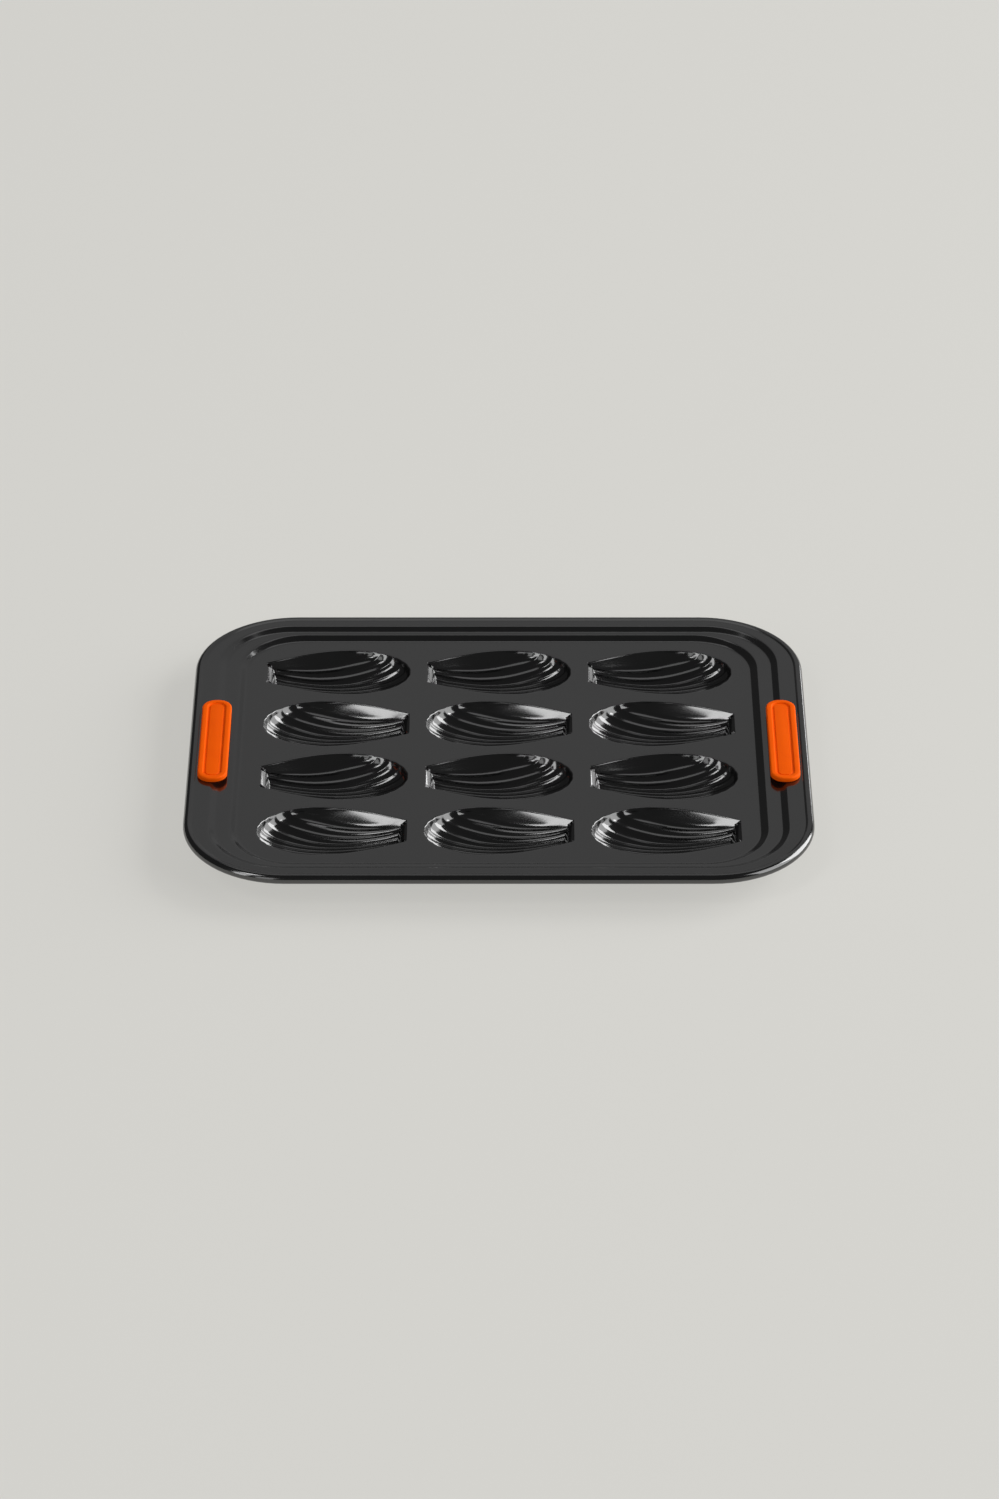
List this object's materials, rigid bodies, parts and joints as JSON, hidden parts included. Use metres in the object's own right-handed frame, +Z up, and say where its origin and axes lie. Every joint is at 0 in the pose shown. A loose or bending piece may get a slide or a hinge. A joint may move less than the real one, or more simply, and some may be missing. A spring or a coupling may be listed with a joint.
{
  "type": "madeleine pan",
  "caption": "Non-stick steel baking tray with fluted shell-shaped cups in a stepped, curled border and a silicone grip on each short side.",
  "frame": {"origin": "centre of the pan's outline, at the level of the surface that the shells stand on", "axes": "+X along the long side towards a grip, +Y towards the back row, +Z up out of the shells"},
  "size_m": [0.3448, 0.2754, 0.0228],
  "materials": {
    "coated_steel": "satin charcoal non-stick coating",
    "wire_steel": "plain drawn wire",
    "silicone": "matt moulded silicone, orange"
  },
  "bodies": {
    "root": {"pan": "coated_steel", "rim_wire": "wire_steel", "grip_left": "silicone", "grip_right": "silicone"}
  },
  "joints": []
}
